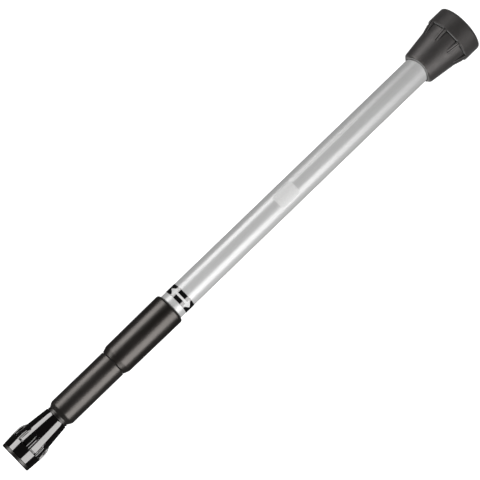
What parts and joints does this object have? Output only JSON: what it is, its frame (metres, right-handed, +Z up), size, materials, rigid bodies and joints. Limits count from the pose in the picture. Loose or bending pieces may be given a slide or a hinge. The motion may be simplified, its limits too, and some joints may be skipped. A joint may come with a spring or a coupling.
{
  "type": "telescoping magnetic pickup tool",
  "caption": "Telescoping magnetic pickup tool: silver tube with a pot magnet in a ribbed rubber boot, soft grips, a twist lock and a gloss black end knob.",
  "frame": {"origin": "centre of the magnet's pick-up face", "axes": "+X along the tool, out of the pick-up face; the handle and knob are at -X; +Z up with the tool lying on its side"},
  "size_m": [0.4179, 0.036, 0.036],
  "materials": {
    "magnet_disc": "bright nickel-plated magnet",
    "magnet_cup": "zinc-plated steel pot",
    "spacer_ring": "plain turned brass",
    "head_stud": "zinc-plated steel",
    "head_washer": "zinc-plated steel",
    "magnet_carrier": "turned aluminium",
    "carrier_pin": "dark spring steel",
    "rubber_boot": "matte dark grey rubber",
    "outer_tube": "satin silver anodised",
    "arrow_band": "gloss black printed band",
    "upper_grip": "matte black soft grip",
    "guide_bushing": "black acetal",
    "inner_tube": "satin silver anodised",
    "guide_ring": "natural acetal",
    "lock_stud": "turned steel",
    "plug_pin": "dark spring steel",
    "stud_washer": "zinc-plated steel",
    "stud_screw": "black oxide steel",
    "thrust_washer": "natural nylon",
    "lock_cone": "turned brass",
    "lock_sleeve": "dark grey nylon",
    "lower_grip": "matte black soft grip",
    "collar_ring": "semi-gloss black",
    "knob_body": "gloss black moulding",
    "knob_plug": "turned aluminium",
    "knob_washer": "zinc-plated steel",
    "knob_screw": "black oxide steel",
    "knob_cap": "gloss black press-in cap"
  },
  "bodies": {
    "outer_body": {"outer_tube": "outer_tube", "arrow_band": "arrow_band", "upper_grip": "upper_grip", "guide_bushing": "guide_bushing", "rubber_boot": "rubber_boot", "magnet_disc": "magnet_disc", "magnet_cup": "magnet_cup", "spacer_ring": "spacer_ring", "head_stud": "head_stud", "head_washer": "head_washer", "magnet_carrier": "magnet_carrier", "carrier_pin": "carrier_pin"},
    "lock_body": {"lock_sleeve": "lock_sleeve"},
    "handle_body": {"inner_tube": "inner_tube", "guide_ring": "guide_ring", "lock_stud": "lock_stud", "plug_pin": "plug_pin", "stud_washer": "stud_washer", "stud_screw": "stud_screw", "thrust_washer": "thrust_washer", "lower_grip": "lower_grip", "collar_ring": "collar_ring", "knob_body": "knob_body", "knob_plug": "knob_plug", "knob_washer": "knob_washer", "knob_screw": "knob_screw", "knob_cap": "knob_cap"},
    "cone_body": {"lock_cone": "lock_cone"}
  },
  "joints": [
    {"name": "extend", "type": "slide", "parent": "outer_body", "child": "lock_body", "axis": [-1, 0, 0], "range_m": [0, 0.22]},
    {"name": "twist", "type": "hinge", "parent": "lock_body", "child": "handle_body", "pos_m": [-0.06, 0, 0], "axis": [1, 0, 0], "range_deg": [0, 180]},
    {"name": "cone_feed", "type": "slide", "parent": "lock_body", "child": "cone_body", "axis": [1, 0, 0], "range_m": [0, 0.001]}
  ],
  "couplings": [
    {"joint": "cone_feed", "follows": "twist", "m_per_rad": 0.00031831}
  ]
}
